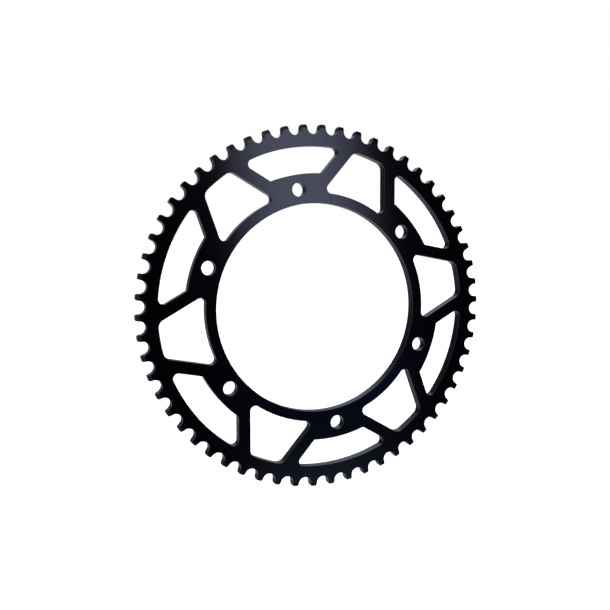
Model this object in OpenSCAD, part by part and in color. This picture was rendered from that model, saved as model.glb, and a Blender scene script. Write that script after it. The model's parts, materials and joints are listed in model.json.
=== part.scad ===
// Rear chain sprocket for a light motorcycle: one plate, cut in a single piece.
// Millimetres. The plate stands upright, with its axis along Y and its outer face
// towards -Y. The origin is the centre of the bore, halfway through the plate, and
// the first bolt hole is straight above it, at +Z.

/* [Chain and teeth] */
// Number of teeth
teeth = 58; // [54:1:72]
// Chain pitch, from one roller's centre to the next
pitch = 12.7; // [12.2:0.1:16]
// Diameter of the chain's rollers
roller_d = 8.51; // [7.7:0.01:8.9]
// Gap left around a roller in its seat, on the radius
seat_clearance = 0.04; // [0:0.01:0.15]
// Radius of the rounded flank that leads from a seat up to a tooth's tip
flank_r = 3.7; // [3.4:0.1:6]
// Height of the tooth tips above the pitch circle
tip_h = 2.2; // [1.6:0.1:2.6]
// Width of the bevel on each face of a tooth, inwards from its tip
bevel_w = 2.4; // [0.5:0.1:4]
// Thickness that each bevel takes off at the tip
bevel_t = 1.1; // [0.4:0.1:1.8]

/* [Plate] */
// Thickness of the plate
plate_t = 7; // [5:0.1:9]
// Width of the solid rim, from the bottom of the tooth gaps to the windows
rim_w = 7.4; // [5:0.1:9]
// Edge break at 45 degrees on the bore and the bolt holes
edge_break = 0.2; // [0.1:0.05:0.8]

/* [Hub seat] */
// Diameter of the bore that seats on the hub
bore_d = 137.5; // [110:0.1:160]
// Distance from the bore's edge out to the centres of the bolt holes
bolt_inset = 9.55; // [8:0.05:13]
// Diameter of each bolt hole
bolt_hole_d = 9.2; // [7:0.1:11]
// Number of bolt holes, each with one window outside it and one beside it
bolt_count = 6; // [5:1:6]
// Width of the ring between the bore and the windows beside the bolt holes
hub_ring_w = 6.75; // [5:0.05:12]
// Wall between a bolt hole and the window outside it
bolt_wall = 5.1; // [3:0.1:8]

/* [Spokes and windows] */
// Width of each straight spoke
spoke_w = 7.8; // [5:0.1:10]
// Angle from a side window's centreline to a spoke's foot, on the bolt circle
spoke_foot = 20.3; // [18:0.1:21]
// Angle from a side window's centreline to a spoke's head, on the rim
spoke_head = 8.6; // [8:0.1:12]
// Corner radius of the outer windows at the rim
outer_window_rim_r = 3.3; // [1:0.1:4]
// Corner radius of the outer windows at the bolt holes
outer_window_bolt_r = 1; // [0.5:0.1:2]
// Corner radius of the side windows at the rim
side_window_rim_r = 5.6; // [2:0.1:6.5]
// Corner radius of the side windows at the hub ring
side_window_hub_r = 3.4; // [1:0.1:6]

/* [Hidden] */
$fn = 96;
anodised_black = [0.12, 0.12, 0.14];

// How far each cutter runs past the plate's faces, and the tooth outline past the tips
through = 1;
tip_overshoot = 0.5;

// Circles that the teeth follow
tooth_angle = 360 / teeth;
pitch_r = pitch / (2 * sin(tooth_angle / 2));
root_r = pitch_r - roller_d / 2;
seat_r = roller_d / 2 + seat_clearance;
seat_centre_r = root_r + seat_r;
tip_r = pitch_r + tip_h;

// One tooth gap lies on the line through the second bolt hole
bolt_angle = 360 / bolt_count;
first_gap = 90 + bolt_angle;

// Arcs that bound the windows
window_r = root_r - rim_w;
bolt_circle_r = bore_d / 2 + bolt_inset;
outer_window_r = bolt_circle_r + bolt_hole_d / 2 + bolt_wall;
side_window_r = bore_d / 2 + hub_ring_w;

// A spoke's centreline, with a side window's centreline along +Y: its foot and head,
// its direction, the normal to its right, and its distance from the axis
foot = on_circle(bolt_circle_r, 90 - spoke_foot);
head = on_circle(window_r, 90 - spoke_head);
spoke_dir = (head - foot) / norm(head - foot);
spoke_normal = [spoke_dir.y, -spoke_dir.x];
spoke_distance = spoke_normal * foot;

// Largest step between two points of an arc, in degrees: long arcs and small corners
long_step = 2;
corner_step = 11;

// Point at radius r and angle a, measured from +X
function on_circle(r, a) = [r * cos(a), r * sin(a)];

// Angle of the vector v, measured from +X
function heading(v) = atan2(v.y, v.x);

// Points of an arc about c with radius r, from angle a to angle b, step degrees apart
function arc(c, r, a, b, step) =
    let (n = ceil(abs(b - a) / step))
    [for (i = [0:n]) c + on_circle(r, a + (b - a) * i / n)];

// The points turned by the angle a about the origin
function turned(points, a) =
    [for (p = points) [p.x * cos(a) - p.y * sin(a), p.x * sin(a) + p.y * cos(a)]];

// The points mirrored to the other side of the Y axis, in reverse order
function mirrored(points) =
    [for (i = [len(points) - 1:-1:0]) [-points[i].x, points[i].y]];

// Centre of a corner arc that touches the line at distance d along the spoke's
// normal and has its own centre at radius r from the axis
function corner_centre(d, r) = d * spoke_normal + sqrt(r * r - d * d) * spoke_dir;

// Half outline of a side window, right of its centreline, from the rim to the hub
// ring: rim arc, rim corner, straight side along the spoke, hub corner, hub arc
function side_window_half() =
    let (side = spoke_distance - spoke_w / 2)
    let (rim_c = corner_centre(side - side_window_rim_r, window_r - side_window_rim_r))
    let (hub_c = corner_centre(side - side_window_hub_r, side_window_r + side_window_hub_r))
    let (across = heading(spoke_normal))
    concat(
        arc([0, 0], window_r, 90, heading(rim_c), long_step),
        arc(rim_c, side_window_rim_r, heading(rim_c), across, corner_step),
        arc(hub_c, side_window_hub_r, across, heading(-hub_c), corner_step),
        arc([0, 0], side_window_r, heading(hub_c), 90, long_step)
    );

// Half outline of an outer window, left of its centreline, which is half a bolt
// spacing clockwise from +Y here: bolt arc, bolt corner, straight side, rim corner,
// rim arc
function outer_window_half() =
    let (middle = 90 - bolt_angle / 2)
    let (side = spoke_distance + spoke_w / 2)
    let (bolt_c = corner_centre(side + outer_window_bolt_r, outer_window_r + outer_window_bolt_r))
    let (rim_c = corner_centre(side + outer_window_rim_r, window_r - outer_window_rim_r))
    let (across = heading(-spoke_normal))
    concat(
        arc([0, 0], outer_window_r, middle, heading(bolt_c), long_step),
        arc(bolt_c, outer_window_bolt_r, heading(-bolt_c), across, corner_step),
        arc(rim_c, outer_window_rim_r, across + 360, heading(rim_c), corner_step),
        arc([0, 0], window_r, heading(rim_c), middle, long_step)
    );

// Outline of a window that is the half outline and its mirror image about +Y
module window(half) {
    polygon(concat(half, mirrored(half)));
}

// Outline of one tooth gap, pointing along +X: down one flank, round the roller's
// seat and up the other flank, with its open end past the tooth tips
function gap_points() =
    let (flank_offset = seat_r + flank_r)
    let (rise = asin((tip_r + tip_overshoot - seat_centre_r) / flank_r))
    let (seat_c = [seat_centre_r, 0])
    concat(
        arc(seat_c + [0, flank_offset], flank_r, rise - 90, -90, corner_step),
        arc(seat_c, seat_r, 90, 270, corner_step * 1.5),
        arc(seat_c - [0, flank_offset], flank_r, 90, 90 - rise, corner_step)
    );

// Outline of all the teeth, a little longer than they are: the blank trims the tips
module tooth_outline() {
    gap = gap_points();
    polygon([for (k = [teeth - 1:-1:0]) each turned(gap, first_gap + k * tooth_angle)]);
}

// Turned blank: the plate with its bore, the edge breaks and the bevels at the tips
module blank() {
    bore_r = bore_d / 2;
    half_t = plate_t / 2;
    outer_half = [
        [bore_r, half_t - edge_break],
        [bore_r + edge_break, half_t],
        [tip_r - bevel_w, half_t],
        [tip_r, half_t - bevel_t]
    ];
    inner_half = [for (i = [3:-1:0]) [outer_half[i].x, -outer_half[i].y]];
    rotate_extrude() polygon(concat(outer_half, inner_half));
}

// Cutter for one bolt hole: a drill with a countersink at each face of the plate
module bolt_hole_cutter() {
    hole_r = bolt_hole_d / 2;
    half_t = plate_t / 2;
    cylinder(h = plate_t + 2 * through, r = hole_r, center = true);
    for (side = [0, 1])
        mirror([0, 0, side])
            translate([0, 0, half_t - edge_break])
                cylinder(h = edge_break + through, r1 = hole_r, r2 = hole_r + edge_break + through);
}

module sprocket_plate() {
    color(anodised_black)
    rotate([90, 0, 0])
    difference() {
        intersection() {
            blank();
            linear_extrude(plate_t + 2 * through, center = true) tooth_outline();
        }
        for (k = [0:bolt_count - 1]) {
            rotate(90 + k * bolt_angle)
                translate([bolt_circle_r, 0, 0])
                    bolt_hole_cutter();
            rotate(k * bolt_angle)
                linear_extrude(plate_t + 2 * through, center = true)
                    window(turned(outer_window_half(), bolt_angle / 2));
            rotate((k + 0.5) * bolt_angle)
                linear_extrude(plate_t + 2 * through, center = true)
                    window(side_window_half());
        }
    }
}

sprocket_plate();
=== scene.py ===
"""Visual model of a one-piece rear sprocket in black anodised aluminium.

The plate stands upright in the shared frame: its axis lies along Y, its outer face
looks towards -Y, and one bolt hole is straight above the bore, at +Z. Outlines are
worked out in the plane of the plate, with x to the right and y up as seen from the
outer face, in millimetres, and are turned into metres in the frame at the end.
"""

import json
import logging
import math
from dataclasses import dataclass, field, replace
from enum import Enum
from typing import Any, Sequence

import bpy
import numpy as np
from mathutils import Matrix, Vector
from mathutils.geometry import delaunay_2d_cdt


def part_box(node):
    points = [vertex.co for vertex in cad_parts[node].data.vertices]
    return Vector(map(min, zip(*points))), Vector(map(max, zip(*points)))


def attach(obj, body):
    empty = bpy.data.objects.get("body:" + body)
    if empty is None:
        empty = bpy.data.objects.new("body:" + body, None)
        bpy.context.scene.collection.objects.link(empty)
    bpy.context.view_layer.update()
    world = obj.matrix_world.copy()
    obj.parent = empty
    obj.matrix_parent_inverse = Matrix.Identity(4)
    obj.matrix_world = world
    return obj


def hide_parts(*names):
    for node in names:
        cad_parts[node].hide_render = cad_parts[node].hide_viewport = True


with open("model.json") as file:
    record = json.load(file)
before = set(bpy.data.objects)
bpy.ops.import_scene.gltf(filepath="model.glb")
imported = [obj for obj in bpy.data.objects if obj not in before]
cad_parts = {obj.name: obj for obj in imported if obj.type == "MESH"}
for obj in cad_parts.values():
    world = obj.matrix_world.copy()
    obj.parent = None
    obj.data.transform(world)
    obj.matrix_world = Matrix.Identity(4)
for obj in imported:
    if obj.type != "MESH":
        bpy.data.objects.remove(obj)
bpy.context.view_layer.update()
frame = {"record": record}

log = logging.getLogger("sprocket")

MM = 0.001
PLATE_NODE = "sprocket_plate"
WALL_UV = "along_wall"
EDGE_ATTRIBUTE = "edge_break"

SAME_POINT = 1e-6
TO_HUB_FACE = np.array([1.0, 1.0, -1.0])

Colour = tuple[float, float, float]
Place = tuple[float, float, float]


# -------- plane geometry


def polar(radius: float, angle: float | np.ndarray) -> np.ndarray:
    """Point or points at a radius and an angle in radians, measured from +x."""
    return radius * np.stack([np.cos(angle), np.sin(angle)], axis=-1)


def heading(vector: np.ndarray) -> float:
    """Angle of a plane vector in radians, measured from +x."""
    return float(np.arctan2(vector[1], vector[0]))


def arc(centre: Sequence[float], radius: float, start: float, stop: float, step: float) -> np.ndarray:
    """Points on a circle, from one angle to another and both ends included.

    Formula: centre + radius * (cos a, sin a), with a in equal steps.

    Args:
        centre: The circle's centre.
        radius: The circle's radius.
        start: First angle, in radians.
        stop: Last angle, in radians.
        step: Longest step between two points along the arc, in the unit of radius.

    Returns:
        An array of points, one row each.
    """
    count = max(2, int(np.ceil(abs(stop - start) * radius / step)))
    return np.asarray(centre) + polar(radius, np.linspace(start, stop, count + 1))


def turned(points: np.ndarray, angle: float) -> np.ndarray:
    """The points turned about the origin by an angle in radians."""
    c, s = np.cos(angle), np.sin(angle)
    return points @ np.array([[c, s], [-s, c]])


def mirrored(points: np.ndarray) -> np.ndarray:
    """The points mirrored in the y axis, in reverse order."""
    return points[::-1] * [-1.0, 1.0]


def joined(*pieces: np.ndarray) -> np.ndarray:
    """One closed outline from pieces that follow each other, with no point twice.

    Args:
        *pieces: Points of each piece, one row each.

    Returns:
        The outline's points.
    """
    points = np.concatenate(pieces)
    gap = np.linalg.norm(points - np.roll(points, 1, axis=0), axis=1)
    return points[gap > SAME_POINT]


def joined_open(*pieces: np.ndarray) -> np.ndarray:
    """One open line from pieces that follow each other, with no point twice.

    Args:
        *pieces: Points of each piece, one row each.

    Returns:
        The line's points.
    """
    points = np.concatenate(pieces)
    gap = np.linalg.norm(np.diff(points, axis=0), axis=1)
    return points[np.concatenate([[True], gap > SAME_POINT])]


def meeting_point(centre: np.ndarray, radius: float, axis_radius: float, side: float) -> np.ndarray:
    """Where a circle meets a circle about the axis.

    Formula: the triangle of the two centres and the meeting point has known sides, so
    the law of cosines gives the angle at the axis between the centre and the point.

    Args:
        centre: Centre of the first circle.
        radius: Its radius.
        axis_radius: Radius of the circle about the axis.
        side: 1 for the point counter-clockwise of the first centre, -1 for clockwise.

    Returns:
        The meeting point.
    """
    away = float(np.linalg.norm(centre))
    cosine = (away**2 + axis_radius**2 - radius**2) / (2 * away * axis_radius)
    return polar(axis_radius, heading(centre) + side * math.acos(cosine))


def signed_area(points: np.ndarray) -> float:
    """Area inside a closed outline, positive when it runs counter-clockwise."""
    x, y = points.T
    return 0.5 * float(np.sum(x * np.roll(y, -1) - np.roll(x, -1) * y))


def turned_to(points: np.ndarray, sense: float) -> np.ndarray:
    """The outline run counter-clockwise for a positive sense, and clockwise for a negative."""
    return points if signed_area(points) * sense > 0 else points[::-1]


def inside(points: np.ndarray, outline: np.ndarray) -> np.ndarray:
    """Tells which points lie inside a closed outline.

    Formula: a point is inside when a ray from it towards +x crosses the outline an
    odd number of times. All points are tested against all edges at once.

    Args:
        points: Points to test, one row each.
        outline: The closed outline.

    Returns:
        A boolean for each point.
    """
    start, stop = outline, np.roll(outline, -1, axis=0)
    px, py = points[:, :1], points[:, 1:]
    spans = (start[:, 1] > py) != (stop[:, 1] > py)
    rise = np.where(stop[:, 1] == start[:, 1], 1.0, stop[:, 1] - start[:, 1])
    cross = start[:, 0] + (py - start[:, 1]) / rise * (stop[:, 0] - start[:, 0])
    return (spans & (px < cross)).sum(axis=1) % 2 == 1


# -------- the sprocket's sizes


@dataclass
class Teeth:
    """The ring of teeth: a round seat for each roller and rounded flanks up to the tips.

    Attributes:
        tip_r: Radius of the tips.
        count: Number of teeth.
        pitch: Pitch of the chain.
        roller_d: Diameter of its rollers.
        seat_clearance: How much larger the seat's radius is than the roller's.
        flank_r: Radius of a tooth's convex flank.
        bevel_w: Width of the bevel at the tips, measured from the tips inwards.
        bevel_t: How much each bevel takes off the thickness at the tips.
        corner_r: Radius between a flank and the tip.
        first_gap: Angle of one gap's centreline.
        step: Longest step between two points of the outline.
    """

    tip_r: float
    count: int = 58
    pitch: float = 12.7
    roller_d: float = 8.51
    seat_clearance: float = 0.04
    flank_r: float = 3.7
    bevel_w: float = 2.4
    bevel_t: float = 1.1
    corner_r: float = 0.35
    first_gap: float = math.radians(150.0)
    step: float = 0.42

    @property
    def spacing(self) -> float:
        """Angle from one tooth to the next."""
        return 2 * math.pi / self.count

    @property
    def root_r(self) -> float:
        """Radius to the bottom of the gaps: the pitch circle less half a roller."""
        return self.pitch / (2 * math.sin(self.spacing / 2)) - self.roller_d / 2

    @property
    def bevel_r(self) -> float:
        """Radius at which the bevel towards the tips starts."""
        return self.tip_r - self.bevel_w

    @property
    def seat_r(self) -> float:
        """Radius of a roller's seat."""
        return self.roller_d / 2 + self.seat_clearance

    @property
    def seat_c(self) -> np.ndarray:
        """Centre of the seat of the gap that points along +y."""
        return np.array([0.0, self.root_r + self.seat_r])

    def bevel_point(self, edge: float) -> np.ndarray:
        """Where the seat's inset by the edge break crosses the start of the bevel."""
        return meeting_point(self.seat_c, self.seat_r + edge, self.bevel_r, -1.0)

    def half_gap(self, edge: float) -> np.ndarray:
        """Outline from the bottom of a gap to the middle of the next tooth.

        The gap points along +y. Formula: a quarter of the seat's circle, then the
        flank's circle, which touches the seat's at the same height as its centre, then
        the corner's circle, which touches the flank's and the tip's from inside, then
        the tip's circle. The seat has a point where its inset by the edge break
        crosses the start of the bevel.

        Args:
            edge: Width of the edge break, by which the seat is inset.

        Returns:
            Points from the gap's centreline clockwise to the tooth's centreline.
        """
        flank_c = self.seat_c + [self.seat_r + self.flank_r, 0.0]
        corner_c = meeting_point(flank_c, self.flank_r - self.corner_r, self.tip_r - self.corner_r, 1.0)
        bevel_at = heading(self.bevel_point(edge) - self.seat_c)
        flank_end = heading(corner_c - flank_c)
        tooth_middle = math.pi / 2 - self.spacing / 2
        return joined_open(
            arc(self.seat_c, self.seat_r, -math.pi / 2, bevel_at, self.step),
            arc(self.seat_c, self.seat_r, bevel_at, 0.0, self.step),
            arc(flank_c, self.flank_r, math.pi, flank_end, self.step),
            arc(corner_c, self.corner_r, flank_end, heading(corner_c), self.corner_r / 3),
            arc((0.0, 0.0), self.tip_r, heading(corner_c), tooth_middle, self.step),
        )

    def outline(self, edge: float) -> np.ndarray:
        """Closed outline of all the teeth.

        Formula: half a gap and its mirror image make one gap, which is turned by one
        tooth's spacing at a time.

        Args:
            edge: Width of the edge break, by which the seats are inset.

        Returns:
            The outline, counter-clockwise.
        """
        half = self.half_gap(edge)
        gap = np.concatenate([half[::-1], mirrored(half)[::-1][1:]])
        starts = self.first_gap - math.pi / 2 + self.spacing * np.arange(self.count)
        return joined(*[turned(gap, a) for a in starts])

    def bevel_arcs(self, edge: float, points_each: int = 4) -> np.ndarray:
        """Points where the bevel starts, across each tooth.

        Formula: equal steps along the circle at the start of the bevel, between the
        insets of the two seats beside the tooth.

        Args:
            edge: Width of the edge break, by which the seats are inset.
            points_each: Number of points across one tooth, both ends included.

        Returns:
            An array with one row of points for each tooth.
        """
        reach = self.spacing / 2 - (math.pi / 2 - heading(self.bevel_point(edge)))
        across = np.linspace(-reach, reach, points_each)
        middles = self.first_gap + self.spacing * (np.arange(self.count) + 0.5)
        return polar(self.bevel_r, middles[:, None] + across[None, :])


@dataclass
class HubSeat:
    """The bore and the bolt holes, with the mounts' own sizes."""

    bore_r: float
    bolt_circle_r: float
    bolt_r: float
    bolt_count: int
    step: float = 1.0
    hole_step: float = 0.6

    def outlines(self) -> list[np.ndarray]:
        """Closed outlines of the bore and of each bolt hole.

        Formula: full circles, with the bolt holes in equal turns from straight up.

        Returns:
            The bore's outline and then the holes', counter-clockwise.
        """
        full = 2 * math.pi
        bore = joined(arc((0.0, 0.0), self.bore_r, 0.0, full, self.step))
        hole = joined(arc((0.0, 0.0), self.bolt_r, 0.0, full, self.hole_step))
        angles = math.pi / 2 + full / self.bolt_count * np.arange(self.bolt_count)
        return [bore] + [hole + polar(self.bolt_circle_r, a) for a in angles]


@dataclass
class Windows:
    """The windows between the straight spokes: one outside and one beside each bolt hole.

    Attributes:
        rim_w: Width of metal out to the bottoms of the gaps.
        hub_ring_w: Width of metal from a side window in to the bore.
        bolt_wall: Width of metal from an outer window in to the bolt hole.
        spoke_w: Width of a spoke.
        spoke_foot: Angle from a side window's centreline to a spoke's foot.
        spoke_head: Angle from there to its head.
        outer_rim_r, outer_bolt_r: Radii of an outer window's corners.
        side_rim_r, side_hub_r: Radii of a side window's corners.
    """

    teeth: Teeth
    hub: HubSeat
    rim_w: float = 7.4
    hub_ring_w: float = 6.75
    bolt_wall: float = 5.1
    spoke_w: float = 7.8
    spoke_foot: float = math.radians(20.3)
    spoke_head: float = math.radians(8.6)
    outer_rim_r: float = 3.3
    outer_bolt_r: float = 1.0
    side_rim_r: float = 5.6
    side_hub_r: float = 3.4
    step: float = 1.6
    corner_step: float = 0.35
    window_r: float = field(init=False)
    along: np.ndarray = field(init=False)
    across: np.ndarray = field(init=False)
    distance: float = field(init=False)

    def __post_init__(self) -> None:
        """Works out the centreline of the spoke to the right of the side window at +y.

        Formula: it runs from the foot on the bolt circle to the head at the rim. Along
        is its unit direction, across is its unit normal, and distance is how far it
        passes from the axis.
        """
        self.window_r = self.teeth.root_r - self.rim_w
        foot = polar(self.hub.bolt_circle_r, math.pi / 2 - self.spoke_foot)
        head = polar(self.window_r, math.pi / 2 - self.spoke_head)
        self.along = (head - foot) / np.linalg.norm(head - foot)
        self.across = np.array([self.along[1], -self.along[0]])
        self.distance = float(self.across @ foot)

    def corner_centre(self, distance: float, radius: float) -> np.ndarray:
        """Point at a distance along the spoke's normal and at a radius from the axis."""
        return distance * self.across + math.sqrt(radius**2 - distance**2) * self.along

    def side_half(self) -> np.ndarray:
        """Right half of a side window, from the rim to the hub ring.

        Formula: rim arc, a corner arc that touches it and the spoke's side, and the same
        at the hub ring. Each corner's centre is its own radius away from both.

        Returns:
            Points from the window's centreline at the rim to that at the hub ring.
        """
        side = self.distance - self.spoke_w / 2
        inner_r = self.hub.bore_r + self.hub_ring_w
        rim_c = self.corner_centre(side - self.side_rim_r, self.window_r - self.side_rim_r)
        hub_c = self.corner_centre(side - self.side_hub_r, inner_r + self.side_hub_r)
        flat = heading(self.across)
        centre, up = (0.0, 0.0), math.pi / 2
        return joined_open(
            arc(centre, self.window_r, up, heading(rim_c), self.step),
            arc(rim_c, self.side_rim_r, heading(rim_c), flat, self.corner_step),
            arc(hub_c, self.side_hub_r, flat, heading(-hub_c), self.corner_step),
            arc(centre, inner_r, heading(hub_c), up, self.step),
        )

    def outer_half(self) -> np.ndarray:
        """Left half of an outer window, turned so that its centreline is +y.

        Formula: as for the side window, but on the spoke's other side, from the arc
        round the bolt hole out to the rim.

        Returns:
            Points from the window's centreline at the bolt hole to that at the rim.
        """
        half_turn = math.pi / self.hub.bolt_count
        side = self.distance + self.spoke_w / 2
        inner_r = self.hub.bolt_circle_r + self.hub.bolt_r + self.bolt_wall
        bolt_c = self.corner_centre(side + self.outer_bolt_r, inner_r + self.outer_bolt_r)
        rim_c = self.corner_centre(side + self.outer_rim_r, self.window_r - self.outer_rim_r)
        flat = heading(-self.across)
        centre, middle = (0.0, 0.0), math.pi / 2 - half_turn
        half = joined_open(
            arc(centre, inner_r, middle, heading(bolt_c), self.step),
            arc(bolt_c, self.outer_bolt_r, heading(-bolt_c), flat, self.corner_step),
            arc(rim_c, self.outer_rim_r, flat + 2 * math.pi, heading(rim_c), self.corner_step),
            arc(centre, self.window_r, heading(rim_c), middle, self.step),
        )
        return turned(half, half_turn)

    def outlines(self) -> list[np.ndarray]:
        """Closed outlines of all the windows.

        Formula: each half and its mirror image make one window, which is turned by the
        bolt holes' spacing at a time. A side window lies half a spacing further on.

        Returns:
            The outer windows' outlines and then the side windows'.
        """
        spacing = 2 * math.pi / self.hub.bolt_count
        side, outer = self.side_half(), self.outer_half()
        side = joined(side, mirrored(side))
        outer = joined(outer, mirrored(outer))
        turns = spacing * np.arange(self.hub.bolt_count)
        return [turned(outer, a) for a in turns] + [turned(side, a + spacing / 2) for a in turns]


# -------- shader helpers


class Socket:
    """A shader socket that takes part in expressions: each operator adds a Math node."""

    def __init__(self, tree: "Shader", socket: bpy.types.NodeSocket | None) -> None:
        """Wraps a socket of a tree, or nothing for a node that has no output."""
        self.tree = tree
        self.socket = socket

    def _math(self, operation: str, *values: Any) -> "Socket":
        """Adds a Math node on the values and returns its result."""
        return self.tree.add("ShaderNodeMath", {"operation": operation}, dict(enumerate(values)))

    def __add__(self, other: Any) -> "Socket":
        """Sum."""
        return self._math("ADD", self, other)

    def __radd__(self, other: Any) -> "Socket":
        """Sum, with the number first."""
        return self._math("ADD", other, self)

    def __sub__(self, other: Any) -> "Socket":
        """Difference."""
        return self._math("SUBTRACT", self, other)

    def __rsub__(self, other: Any) -> "Socket":
        """Difference, with the number first."""
        return self._math("SUBTRACT", other, self)

    def __mul__(self, other: Any) -> "Socket":
        """Product."""
        return self._math("MULTIPLY", self, other)

    def __rmul__(self, other: Any) -> "Socket":
        """Product, with the number first."""
        return self._math("MULTIPLY", other, self)

    def smooth_step(self, low: float, high: float) -> "Socket":
        """Zero at low, one at high and a smooth rise between them, or a fall if high is lower."""
        values = {"Value": self, "From Min": low, "From Max": high}
        return self.tree.add("ShaderNodeMapRange", {"interpolation_type": "SMOOTHSTEP"}, values)


class Shader:
    """A node tree that expressions and named nodes are added to."""

    def __init__(self, tree: bpy.types.NodeTree) -> None:
        """Takes over a tree and empties it.

        Args:
            tree: The node tree of a material or of the world.
        """
        self.nodes = tree.nodes
        self.links = tree.links
        self.nodes.clear()

    def add(
        self, kind: str, settings: dict[str, Any], values: dict[Any, Any], output: str | int = 0
    ) -> Socket:
        """Adds a node.

        Args:
            kind: The node's type.
            settings: The node's own properties, set first.
            values: Numbers, colours or sockets for its inputs, by name or place.
            output: The output to return, by name or place.

        Returns:
            The chosen output.
        """
        node = self.nodes.new(kind)
        for name, value in settings.items():
            setattr(node, name, value)
        for name, value in values.items():
            if isinstance(value, Socket):
                self.links.new(value.socket, node.inputs[name])
            elif value is not None:
                node.inputs[name].default_value = value
        return Socket(self, node.outputs[output] if node.outputs else None)

    def mix_colour(self, factor: Socket, low: Socket | Colour, high: Socket | Colour) -> Socket:
        """Blend of two colours."""
        ends = [end if isinstance(end, Socket) else (*end, 1.0) for end in (low, high)]
        return self.add("ShaderNodeMix", {"data_type": "RGBA"}, {0: factor, 6: ends[0], 7: ends[1]}, 2)

    def noise(self, size: float, detail: float) -> Socket:
        """Noise in the piece's own space, from 0 to 1, with features of a size in metres."""
        place = self.add("ShaderNodeTexCoord", {}, {}, "Object")
        return self.add("ShaderNodeTexNoise", {}, {"Vector": place, "Scale": 1 / size, "Detail": detail})

    def bump(self, height: Socket, depth: float, normal: Socket | None = None) -> Socket:
        """The normal of a surface raised by up to a depth in metres, over another bump."""
        values = {"Height": height, "Distance": depth, "Strength": 1.0, "Normal": normal}
        return self.add("ShaderNodeBump", {}, values)


# -------- finishes


class ToolPath(Enum):
    """What the cutter's marks follow: rings about the axis, or strokes across a wall."""

    RINGS = "rings"
    STROKES = "strokes"


@dataclass(frozen=True)
class AnodisedFinish:
    """Black anodised aluminium: a dark, faintly blue film over machined metal."""

    name: str
    film: Colour = (0.048, 0.049, 0.058)
    film_thin: Colour = (0.053, 0.054, 0.065)
    worn: Colour = (0.100, 0.102, 0.112)
    metallic: float = 1.0
    roughness: float = 0.10
    roughness_spread: float = 0.02
    worn_roughness: float = 0.06
    cloud_size: float = 0.03
    grain_size: float = 0.00022
    grain_depth: float = 0.0000006
    tool_pitch: float = 0.0007
    tool_depth: float = 0.0000008
    scuff_size: float = 0.0011
    scuff_start: float = 0.42
    scuff_full: float = 0.72
    tool_path: ToolPath = ToolPath.RINGS

    def tool_marks(self, shader: Shader) -> Socket:
        """Height of the marks that the cutter left, from 0 to 1.

        Formula: noise along one line. On the faces the line is the distance from the
        axis, which gives fine rings, and on the walls it is the way along the wall,
        which gives fine strokes from face to face.

        Args:
            shader: The tree to add to.

        Returns:
            The height of the marks.
        """
        if self.tool_path is ToolPath.RINGS:
            place = shader.add("ShaderNodeTexCoord", {}, {}, "Object")
            in_plane = {0: place, 1: (1.0, 0.0, 1.0)}
            flat = shader.add("ShaderNodeVectorMath", {"operation": "MULTIPLY"}, in_plane)
            line = shader.add("ShaderNodeVectorMath", {"operation": "LENGTH"}, {0: flat}, "Value")
        else:
            place = shader.add("ShaderNodeUVMap", {"uv_map": WALL_UV}, {})
            line = shader.add("ShaderNodeSeparateXYZ", {}, {0: place}, "X")
        noise = {"W": line, "Scale": 1 / self.tool_pitch, "Detail": 2.0, "Roughness": 0.6}
        return shader.add("ShaderNodeTexNoise", {"noise_dimensions": "1D"}, noise)

    def material(self) -> bpy.types.Material:
        """Makes the material.

        The film's tint and roughness drift a little in soft clouds, the cutter's marks
        and a fine grain show through it, and it is thinner and brighter on the edges.

        Returns:
            The new material.
        """
        material = bpy.data.materials.new(self.name)
        material.use_nodes = True
        shader = Shader(material.node_tree)
        cloud = shader.noise(self.cloud_size, detail=3.0)
        grain = shader.noise(self.grain_size, detail=1.0)
        scuffs = shader.noise(self.scuff_size, detail=4.0)
        marks = self.tool_marks(shader)
        edge = shader.add("ShaderNodeAttribute", {"attribute_name": EDGE_ATTRIBUTE}, {}, "Fac")
        wear = edge * scuffs.smooth_step(self.scuff_start, self.scuff_full)

        film = shader.mix_colour(cloud, self.film, self.film_thin)
        colour = shader.mix_colour(wear, film, self.worn)
        drift = (cloud - 0.5) + (marks - 0.5)
        roughness = self.roughness + self.roughness_spread * drift + self.worn_roughness * wear
        normal = shader.bump(marks, self.tool_depth, shader.bump(grain, self.grain_depth))
        surface = shader.add(
            "ShaderNodeBsdfPrincipled",
            {},
            {"Base Color": colour, "Metallic": self.metallic, "Roughness": roughness, "Normal": normal},
        )
        shader.add("ShaderNodeOutputMaterial", {}, {"Surface": surface})
        return material


FACE_FINISH = AnodisedFinish("anodised_face")
WALL_FINISH = AnodisedFinish(
    "anodised_wall",
    roughness=0.26,
    tool_pitch=0.0005,
    tool_depth=0.000002,
    tool_path=ToolPath.STROKES,
)


# -------- the plate


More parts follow.
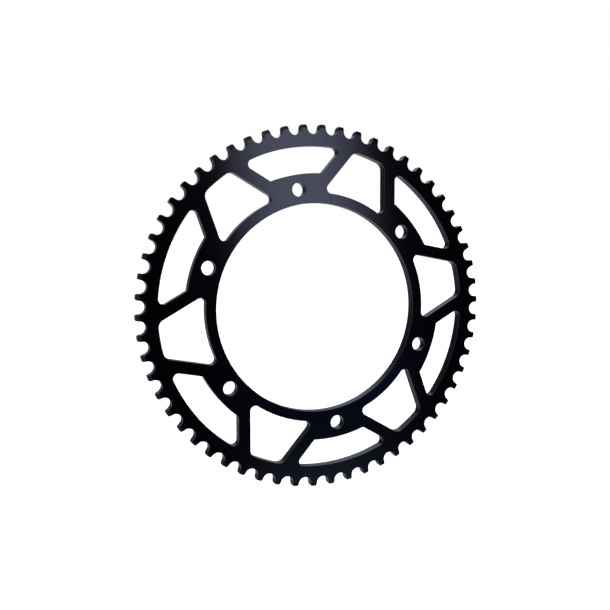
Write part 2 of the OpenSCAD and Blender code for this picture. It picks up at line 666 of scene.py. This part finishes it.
@dataclass
class Wall:
    """The wall along one outline, with the edge breaks at its two ends.

    Attributes:
        points: Points by step of the profile, place along the outline and axis.
        normals: Their normals.
        broken: Share of edge break at each step: 0 on the wall, 1 inside the break.
        run: Distance along the outline at each place, and at last its whole length.
    """

    points: np.ndarray
    normals: np.ndarray
    broken: np.ndarray
    run: np.ndarray

    @property
    def numbers(self) -> np.ndarray:
        """The wall's own numbers of its points, by step and place."""
        return np.arange(self.points[..., 0].size).reshape(self.points.shape[:2])

    @property
    def loop(self) -> np.ndarray:
        """The outline's inset, where the wall meets a face."""
        return self.points[0, :, :2]

    def quads(self) -> np.ndarray:
        """Quads between neighbouring steps and places, as numbers of points."""
        here, after = self.numbers, np.roll(self.numbers, -1, axis=1)
        return np.stack([here[:-1], here[1:], after[1:], after[:-1]], axis=-1).reshape(-1, 4)

    def uv(self) -> np.ndarray:
        """Map of the wall, so that a pattern can follow it.

        Formula: u is the distance along the outline and v the height, both in metres.

        Returns:
            One (u, v) for each corner of the quads.
        """
        start, stop = self.run[:-1], self.run[1:]
        along = np.tile(np.stack([start, start, stop, stop], axis=-1), (len(self.points) - 1, 1))
        height = self.points[..., 2].ravel()[self.quads()]
        return np.stack([along, height], axis=-1).reshape(-1, 2) * MM


@dataclass
class SprocketPlate:
    """The whole sprocket: a flat plate between its outlines, with bevelled tooth tips.

    Attributes:
        thickness: Distance between the two faces.
        teeth: The teeth round its rim.
        hub: The bore and the bolt holes.
        windows: The windows between the spokes.
        tooth_edge: Radius of the edge break round the teeth.
        opening_edge: Radius of the edge break of every opening.
        edge_steps: Steps across an edge break.
        support: Height of the narrow strip that ends an edge break on the wall.
        merge: Distance within which the faces' points count as one.
    """

    thickness: float
    teeth: Teeth
    hub: HubSeat
    windows: Windows
    tooth_edge: float = 0.2
    opening_edge: float = 0.25
    edge_steps: int = 4
    support: float = 0.12
    merge: float = 1e-4

    def height(self, points: np.ndarray) -> np.ndarray:
        """Height of a face above the plate's middle at points of the plane.

        Formula: half the thickness, less the bevel's slope times the distance past the
        circle where the bevel starts.

        Args:
            points: Points in the plane of the plate.

        Returns:
            The height at each point.
        """
        past = np.maximum(0.0, np.linalg.norm(points, axis=-1) - self.teeth.bevel_r)
        return self.thickness / 2 - past * self.teeth.bevel_t / self.teeth.bevel_w

    def face_normals(self, points: np.ndarray, bevelled: np.ndarray) -> np.ndarray:
        """Normals of a face, with its height as the third axis.

        Formula: straight up on the flat; on the bevel, up plus the bevel's slope times
        the direction away from the axis, brought to length one.

        Args:
            points: Points in the plane of the plate.
            bevelled: Whether each point is on the bevel.

        Returns:
            A normal for each point.
        """
        away = points / np.linalg.norm(points, axis=-1, keepdims=True)
        slope = np.where(bevelled, self.teeth.bevel_t / self.teeth.bevel_w, 0.0)[..., None]
        normals = np.concatenate([away * slope, np.ones_like(slope)], axis=-1)
        return normals / np.linalg.norm(normals, axis=-1, keepdims=True)

    @staticmethod
    def into_metal(outline: np.ndarray) -> np.ndarray:
        """Directions into the metal at the points of an outline with metal on its left.

        Formula: the sum of the two neighbouring edges' unit normals, scaled so that a
        step of one along it moves both edges by one.

        Args:
            outline: A closed outline.

        Returns:
            One direction for each point.
        """
        edges = np.roll(outline, -1, axis=0) - outline
        units = edges / np.linalg.norm(edges, axis=1, keepdims=True)
        normals = np.stack([-units[:, 1], units[:, 0]], axis=1)
        total = normals + np.roll(normals, 1, axis=0)
        return 2 * total / np.sum(total**2, axis=1, keepdims=True)

    def wall(self, outline: np.ndarray, edge: float) -> Wall:
        """The wall along one outline, from the outer face to the hub face.

        Formula: a quarter circle of the edge break's radius carried along the outline
        at each face, inset by edge * (1 - cos a) and lowered by edge * (1 - sin a) for a
        from a right angle to zero, with a straight wall between the two. The normal is
        sin a times the face's normal less cos a times the direction into the metal. The
        share of edge break is sin 2a, which is zero at both ends of the break.

        Args:
            outline: A closed outline with metal on its left.
            edge: Radius of the edge break.

        Returns:
            The wall.
        """
        angles = np.append(np.linspace(math.pi / 2, 0.0, self.edge_steps + 1), 0.0)
        sines, cosines = np.sin(angles)[:, None, None], np.cos(angles)[:, None, None]
        drop = edge * (1 - sines[..., 0])
        drop[-1] += self.support
        into = self.into_metal(outline)
        plane = outline[None] + edge * (1 - cosines) * into[None]
        outer = np.dstack([plane, self.height(plane) - drop])
        bevelled = np.linalg.norm(plane, axis=-1) > self.teeth.bevel_r
        sideways = np.pad(into / np.linalg.norm(into, axis=1, keepdims=True), ((0, 0), (0, 1)))
        normals = sines * self.face_normals(plane, bevelled) - cosines * sideways[None]
        normals /= np.linalg.norm(normals, axis=-1, keepdims=True)
        broken = np.sin(2 * angles)
        lengths = np.linalg.norm(np.roll(outline, -1, axis=0) - outline, axis=1)
        return Wall(
            np.concatenate([outer, outer[::-1] * TO_HUB_FACE]),
            np.concatenate([normals, normals[::-1] * TO_HUB_FACE]),
            np.concatenate([broken, broken[::-1]]),
            np.concatenate([[0.0], np.cumsum(lengths)]),
        )

    def walls(self) -> list[Wall]:
        """Makes the walls of the teeth and of every opening.

        Returns:
            The teeth's wall first, then those of the openings.
        """
        around = turned_to(self.teeth.outline(self.tooth_edge), 1.0)
        openings = [turned_to(o, -1.0) for o in self.hub.outlines() + self.windows.outlines()]
        return [self.wall(around, self.tooth_edge)] + [self.wall(o, self.opening_edge) for o in openings]

    def face_triangles(self, loops: list[np.ndarray], arcs: np.ndarray) -> np.ndarray:
        """Triangles that fill a face between the inset outlines.

        Formula: the constrained Delaunay triangulation of all points, less the
        triangles whose middle lies outside the teeth or inside an opening. The line
        along the start of the bevel is a constraint too: on each tooth it runs from the
        nearest point of the teeth's loop through the tooth's arc to the next nearest.

        Args:
            loops: The inset outlines, the teeth's first.
            arcs: Points where the bevel starts, one row for each tooth.

        Returns:
            The triangles, as numbers of points: first the loops', then the arcs' inner ones.
        """
        ends, inner = arcs[:, [0, -1]], arcs[:, 1:-1]
        away = np.linalg.norm(loops[0] - ends.reshape(-1, 1, 2), axis=2)
        nearest = away.argmin(axis=1).reshape(-1, 2)
        sizes = [len(loop) for loop in loops]
        rings = np.split(np.arange(sum(sizes)), np.cumsum(sizes)[:-1])
        numbers = sum(sizes) + np.arange(inner[..., 0].size).reshape(inner.shape[:2])
        rows = np.concatenate([nearest[:, :1], numbers, nearest[:, 1:]], axis=1)
        edges = [np.stack([ring, np.roll(ring, -1)], axis=1) for ring in rings]
        edges.append(np.stack([rows[:, :-1], rows[:, 1:]], axis=-1).reshape(-1, 2))
        points = np.concatenate([*loops, inner.reshape(-1, 2)])
        vectors = list(map(Vector, points))
        made = delaunay_2d_cdt(vectors, np.concatenate(edges).tolist(), [], 0, self.merge, True)
        faces, sources = made[2], made[3]
        triangles = np.array(list(map(min, sources)))[np.array(faces)]
        middle = points[triangles].mean(axis=1)
        keep = inside(middle, loops[0])
        for loop in loops[1:]:
            keep &= ~inside(middle, loop)
        return triangles[keep]

    def build(self) -> bpy.types.Object:
        """Builds the plate's mesh from its walls and its two faces.

        Returns:
            The new object, with its place in its mesh.
        """
        walls = self.walls()
        firsts = np.cumsum([0] + [wall.numbers.size for wall in walls])
        arcs = self.teeth.bevel_arcs(self.tooth_edge)
        inner = arcs[:, 1:-1].reshape(-1, 2)
        raised = np.column_stack([inner, self.height(inner)])
        points = [wall.points.reshape(-1, 3) for wall in walls] + [raised, raised * TO_HUB_FACE]
        points = np.concatenate(points)
        broken = [np.repeat(wall.broken, len(wall.loop)) for wall in walls] + [np.zeros(2 * len(inner))]

        triangles = self.face_triangles([wall.loop for wall in walls], arcs)
        loose = firsts[-1] + np.arange(len(inner))
        outer_rim = [first + wall.numbers[0] for first, wall in zip(firsts, walls)]
        hub_rim = [first + wall.numbers[-1] for first, wall in zip(firsts, walls)]
        outer = np.concatenate([*outer_rim, loose])[triangles]
        hub = np.concatenate([*hub_rim, loose + len(inner)])[triangles[:, ::-1]]

        corners = points[outer][..., :2]
        bevelled = np.linalg.norm(corners.mean(axis=1), axis=1) > self.teeth.bevel_r
        outer_normals = self.face_normals(corners, np.repeat(bevelled[:, None], 3, axis=1))
        hub_normals = outer_normals[:, ::-1] * TO_HUB_FACE
        normals = [wall.normals.reshape(-1, 3)[wall.quads().ravel()] for wall in walls]
        normals += [outer_normals.reshape(-1, 3), hub_normals.reshape(-1, 3)]
        mesh = PlateMesh(
            points=points,
            quads=np.concatenate([first + wall.quads() for first, wall in zip(firsts, walls)]),
            triangles=np.concatenate([outer, hub]),
            normals=np.concatenate(normals),
            wall_uv=np.concatenate([wall.uv() for wall in walls]),
            broken=np.concatenate(broken),
        )
        return mesh.put_in_scene("plate_finish")

    def dress(self, plate: bpy.types.Object) -> None:
        """Gives the faces and the walls their finishes and ties the piece to its node.

        Args:
            plate: The plate's object.
        """
        plate.data.materials.append(FACE_FINISH.material())
        plate.data.materials.append(WALL_FINISH.material())
        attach(plate, "root")
        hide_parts(PLATE_NODE)


@dataclass
class PlateMesh:
    """The plate's arrays, in millimetres in the plane of the plate, ready for a mesh.

    Attributes:
        points: Points as (x, y, height).
        quads: Quads of the walls and edge breaks, as numbers of points.
        triangles: Triangles of the two faces, as numbers of points.
        normals: Normal for each corner of the quads and then of the triangles.
        wall_uv: Place along the wall, in metres, for each corner of the quads.
        broken: Share of edge break at each point.
    """

    points: np.ndarray
    quads: np.ndarray
    triangles: np.ndarray
    normals: np.ndarray
    wall_uv: np.ndarray
    broken: np.ndarray

    @staticmethod
    def in_frame(vectors: np.ndarray) -> np.ndarray:
        """Vectors of the plate turned into the frame: the outer face looks towards -Y."""
        return np.stack([vectors[:, 0], -vectors[:, 2], vectors[:, 1]], axis=1)

    def put_in_scene(self, name: str) -> bpy.types.Object:
        """Makes the mesh and its object, without the points that no face uses.

        Args:
            name: The object's name.

        Returns:
            The new object.
        """
        corners = np.concatenate([self.quads.ravel(), self.triangles.ravel()])
        used, number = np.unique(corners, return_inverse=True)
        quads, triangles = np.split(number, [self.quads.size])
        faces = quads.reshape(-1, 4).tolist() + triangles.reshape(-1, 3).tolist()
        places = self.in_frame(self.points[used]) * MM
        mesh = bpy.data.meshes.new(PLATE_NODE)
        mesh.from_pydata(places.tolist(), [], faces)
        is_wall = np.arange(len(faces)) < len(self.quads)
        mesh.polygons.foreach_set("use_smooth", np.ones_like(is_wall))
        mesh.polygons.foreach_set("material_index", is_wall.astype(int))
        layer = mesh.uv_layers.new(name=WALL_UV)
        uv = np.concatenate([self.wall_uv, places[triangles][:, [0, 2]]])
        layer.data.foreach_set("uv", uv.astype(np.float32).ravel())
        attribute = mesh.attributes.new(EDGE_ATTRIBUTE, "FLOAT", "POINT")
        attribute.data.foreach_set("value", self.broken[used].astype(np.float32))
        mesh.normals_split_custom_set(self.in_frame(self.normals).tolist())
        mesh.update()
        plate = bpy.data.objects.new(name, mesh)
        bpy.context.scene.collection.objects.link(plate)
        return plate


# -------- the studio


@dataclass(frozen=True)
class Viewpoint:
    """The camera: where it stands about its aim, its turn about its own axis and its lens.

    Angles are in degrees, the lens and the sensor in millimetres, the rest in metres.
    """

    aim: Place = (-0.0078, 0.0, 0.0033)
    heading: float = 18.375
    elevation: float = 7.444
    distance: float = 0.55003
    roll: float = -9.442
    lens: float = 49.25
    sensor: float = 36.0
    nearest: float = 0.01
    farthest: float = 50.0

    def build(self) -> bpy.types.Object:
        """Makes the camera, level first and then rolled about its line of sight.

        Returns:
            The camera.
        """
        pan, tilt = math.radians(self.heading), math.radians(self.elevation)
        back = Vector((-math.sin(pan) * math.cos(tilt), -math.cos(pan) * math.cos(tilt), math.sin(tilt)))
        data = bpy.data.cameras.new("camera")
        data.lens = self.lens
        data.sensor_width = self.sensor
        data.clip_start, data.clip_end = self.nearest, self.farthest
        camera = bpy.data.objects.new("camera", data)
        level = (-back).to_track_quat("-Z", "Y").to_matrix().to_4x4()
        rolled = level @ Matrix.Rotation(math.radians(self.roll), 4, "Z")
        camera.matrix_world = Matrix.Translation(Vector(self.aim) + back * self.distance) @ rolled
        bpy.context.scene.collection.objects.link(camera)
        bpy.context.scene.camera = camera
        return camera


@dataclass(frozen=True)
class Softbox:
    """A rectangular soft light that looks at the middle of the plate.

    Azimuth runs from -Y towards +X and elevation up from the horizon, in degrees.
    Lengths are in metres and the power is in watts.
    """

    name: str
    azimuth: float
    elevation: float
    distance: float
    width: float
    height: float
    power: float
    colour: Colour

    def build(self) -> bpy.types.Object:
        """Makes the light.

        Returns:
            The light.
        """
        pan, tilt = math.radians(self.azimuth), math.radians(self.elevation)
        away = Vector((math.sin(pan) * math.cos(tilt), -math.cos(pan) * math.cos(tilt), math.sin(tilt)))
        data = bpy.data.lights.new(self.name, "AREA")
        data.shape = "RECTANGLE"
        data.size, data.size_y = self.width, self.height
        data.energy = self.power
        data.color = self.colour
        light = bpy.data.objects.new(self.name, data)
        turn = away.to_track_quat("Z", "Y").to_matrix().to_4x4()
        light.matrix_world = Matrix.Translation(away * self.distance) @ turn
        light.visible_camera = False
        bpy.context.scene.collection.objects.link(light)
        return light


class Way(Enum):
    """Ways that a direction can point, each with its axis: right, back and up."""

    RIGHT = "X"
    BACK = "Y"
    UP = "Z"


@dataclass(frozen=True)
class Ramp:
    """A smooth change of light with how far a direction points one way.

    Attributes:
        way: The way.
        dark: Share of the direction's length along it at which there is no light.
        full: Share at which the light is full. It is the lower of the two where the
            light fades as the direction turns that way.
    """

    way: Way
    dark: float
    full: float


@dataclass(frozen=True)
class Glow:
    """A patch of light in the room: its level, times the ramps that bound it."""

    level: float
    ramps: tuple[Ramp, ...]


BACK_RIGHT = (Ramp(Way.RIGHT, -0.34, 0.02),)
BACK_LOW = (Ramp(Way.UP, 0.12, -0.26),)
BACK_HIGH = (Ramp(Way.UP, 0.20, 0.41), Ramp(Way.RIGHT, -0.21, 0.25))

FLOOR_AHEAD = (
    Ramp(Way.RIGHT, 0.15, 0.25),
    Ramp(Way.RIGHT, 0.43, 0.30),
    Ramp(Way.UP, -0.27, -0.34),
)
BLUE_PATCH = (
    Ramp(Way.RIGHT, 0.205, 0.235),
    Ramp(Way.RIGHT, 0.42, 0.398),
    Ramp(Way.UP, -0.175, -0.21),
    Ramp(Way.UP, -0.305, -0.268),
)
SHEEN_PATCH = (
    Ramp(Way.RIGHT, 0.30, 0.36),
    Ramp(Way.RIGHT, 0.42, 0.398),
    Ramp(Way.UP, -0.18, -0.22),
    Ramp(Way.UP, -0.28, -0.25),
)
FLOOR_NEAR = (Ramp(Way.UP, -0.5, -0.7),)
CEILING = (
    Ramp(Way.UP, 0.5, 0.72),
    Ramp(Way.RIGHT, -0.40, 0.35),
    Ramp(Way.RIGHT, 0.70, 0.35),
)
LEFT_WALL = (Ramp(Way.RIGHT, -0.4, -0.65),)
FAR_LEFT = (Ramp(Way.RIGHT, -0.68, -0.80),)
BESIDE = (Ramp(Way.BACK, -0.12, 0.05),)
BESIDE_HIGH = (*BESIDE, Ramp(Way.UP, -0.5, 0.6))

BACK_OF_ROOM = (
    Glow(0.05, ()),
    Glow(0.21, BACK_RIGHT),
    Glow(0.21, BACK_LOW),
    Glow(0.50, BACK_HIGH),
)
FRONT_OF_ROOM = (
    Glow(0.19, FLOOR_AHEAD),
    Glow(0.06, BLUE_PATCH),
    Glow(0.06, SHEEN_PATCH),
    Glow(0.12, FLOOR_NEAR),
    Glow(0.42, CEILING),
    Glow(0.25, LEFT_WALL),
    Glow(0.50, FAR_LEFT),
    Glow(0.14, BESIDE),
    Glow(0.21, BESIDE_HIGH),
)


class Room:
    """Works out the light that comes from each direction of the room."""

    def __init__(self, shader: Shader) -> None:
        """Finds how far the direction points each way.

        Args:
            shader: The world's tree.
        """
        direction = shader.add("ShaderNodeTexCoord", {}, {}, "Generated")
        self.along = {
            way: shader.add("ShaderNodeSeparateXYZ", {}, {0: direction}, way.value) for way in Way
        }

    def patch(self, ramps: Sequence[Ramp]) -> Socket | float:
        """Product of the ramps, from 0 to 1."""
        return math.prod(self.along[ramp.way].smooth_step(ramp.dark, ramp.full) for ramp in ramps)

    def light(self, glows: Sequence[Glow]) -> Socket | float:
        """Sum of the glows."""
        return sum(glow.level * self.patch(glow.ramps) for glow in glows)


@dataclass
class Studio:
    """A pale floor and ground, a dim room for reflections, and soft lights."""

    floor_height: float
    softboxes: list[Softbox]
    room_level: float = 0.018
    back_tint: Colour = (0.93, 0.99, 1.16)
    front_tint: Colour = (0.88, 1.00, 1.40)
    blue_tint: Colour = (0.40, 0.52, 1.12)
    back_starts: float = 0.3
    back_full: float = 0.8
    floor_light: float = 4.2
    floor_reach: float = 6.0
    floor_paint: Colour = (0.82, 0.82, 0.82)

    def room(self) -> None:
        """Makes the world: white where the camera looks, dim and graded in reflections.

        Formula: one low level for all of the room, plus the glows. The direction's
        share towards the back blends the glows of the front of the room into those of
        the back, and the tints likewise. The blue patch, low on the right, has a tint
        of its own. The glows beside the plate are level with it and light its rim.
        """
        world = bpy.data.worlds.new("room")
        world.use_nodes = True
        bpy.context.scene.world = world
        shader = Shader(world.node_tree)
        room = Room(shader)
        depth = room.patch([Ramp(Way.BACK, self.back_starts, self.back_full)])
        glows = depth * room.light(BACK_OF_ROOM) + (1.0 - depth) * room.light(FRONT_OF_ROOM)
        front_tint = shader.mix_colour(room.patch(BLUE_PATCH), self.front_tint, self.blue_tint)
        tint = shader.mix_colour(depth, front_tint, self.back_tint)
        level = self.room_level + glows
        dim = shader.add("ShaderNodeBackground", {}, {"Color": tint, "Strength": level})
        white = shader.add("ShaderNodeBackground", {}, {"Color": (1.0, 1.0, 1.0, 1.0), "Strength": 1.0})
        seen = shader.add("ShaderNodeLightPath", {}, {}, "Is Camera Ray")
        mixed = shader.add("ShaderNodeMixShader", {}, {0: seen, 1: dim, 2: white})
        shader.add("ShaderNodeOutputWorld", {}, {"Surface": mixed})

    def floor(self) -> bpy.types.Object:
        """Makes the floor, with a light of its own that keeps it evenly pale.

        Returns:
            The floor.
        """
        reach = self.floor_reach
        corners = [(-reach, -reach), (reach, -reach), (reach, reach), (-reach, reach)]
        mesh = bpy.data.meshes.new("floor")
        mesh.from_pydata([(x, y, self.floor_height) for x, y in corners], [], [(0, 1, 2, 3)])
        floor = bpy.data.objects.new("floor", mesh)
        bpy.context.scene.collection.objects.link(floor)
        material = bpy.data.materials.new("floor_paint")
        material.use_nodes = True
        shader = Shader(material.node_tree)
        paint = shader.add("ShaderNodeBsdfDiffuse", {}, {"Color": (*self.floor_paint, 1.0)})
        shader.add("ShaderNodeOutputMaterial", {}, {"Surface": paint})
        mesh.materials.append(material)
        floor.visible_glossy = False
        floor.visible_diffuse = False
        data = bpy.data.lights.new("floor_light", "SUN")
        data.energy = self.floor_light
        data.use_shadow = False
        light = bpy.data.objects.new("floor_light", data)
        bpy.context.scene.collection.objects.link(light)
        lit = bpy.data.collections.new("lit_by_floor_light")
        lit.objects.link(floor)
        light.light_linking.receiver_collection = lit
        return floor

    def build(self) -> None:
        """Makes the room, the floor and the lights."""
        self.room()
        self.floor()
        for softbox in self.softboxes:
            softbox.build()
            log.info("light %s: %.2f W", softbox.name, softbox.power)
        bpy.context.scene.view_settings.view_transform = "Standard"


def soft_edged(light: Softbox, edge: float, layers: int = 7, apart: float = 0.01) -> list[Softbox]:
    """The same light as a stack of equally bright layers, each a step wider and taller.

    Formula: the steps run evenly from less the edge to plus the edge, and each layer
    gets the light's power in proportion to its area.

    Args:
        light: The light with hard edges: its size is that of the middle layer.
        edge: How much wider than the light the widest layer is, and the soft edge's width.
        layers: Number of layers.
        apart: Distance from one layer to the next.

    Returns:
        The layers, which together have the light's power.
    """
    steps = np.linspace(-edge, edge, layers)
    area = sum((light.width + s) * (light.height + s) for s in steps)
    return [
        replace(
            light,
            name=f"{light.name}_{number}",
            distance=light.distance + apart * number,
            width=light.width + step,
            height=light.height + step,
            power=light.power * (light.width + step) * (light.height + step) / area,
        )
        for number, step in enumerate(steps)
    ]


KEY_STRIP = Softbox(
    name="key_strip",
    azimuth=19.4,
    elevation=2.0,
    distance=1.6,
    width=0.275,
    height=0.62,
    power=0.78,
    colour=(0.95, 0.97, 1.20),
)
FILL_STRIP = replace(
    KEY_STRIP,
    name="fill_strip",
    azimuth=-8.5,
    elevation=5.0,
    width=0.25,
    height=0.55,
    power=0.30,
)


def mount(name: str) -> dict[str, Any]:
    """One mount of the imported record, by its name."""
    return next(m for m in frame["record"]["mounts"] if m["name"] == name)


def main() -> None:
    """Builds the plate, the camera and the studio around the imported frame."""
    logging.basicConfig(level=logging.INFO, format="%(name)s: %(message)s")
    low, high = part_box(PLATE_NODE)
    bolts, bore = mount("bolt_holes")["dims"], mount("hub_bore")["dims"]
    teeth = Teeth(tip_r=(high[2] - low[2]) / 2 / MM)
    hub = HubSeat(bore["r_mm"], bolts["pcd_mm"] / 2, bolts["hole_r_mm"], bolts["count"])
    plate = SprocketPlate((high[1] - low[1]) / MM, teeth, hub, Windows(teeth, hub))
    piece = plate.build()
    plate.dress(piece)
    log.info("plate: %d points, %d faces", len(piece.data.vertices), len(piece.data.polygons))
    Viewpoint().build()
    lights = soft_edged(KEY_STRIP, edge=0.11) + soft_edged(FILL_STRIP, edge=0.15)
    Studio(floor_height=low[2], softboxes=lights).build()


if __name__ == "__main__":
    main()
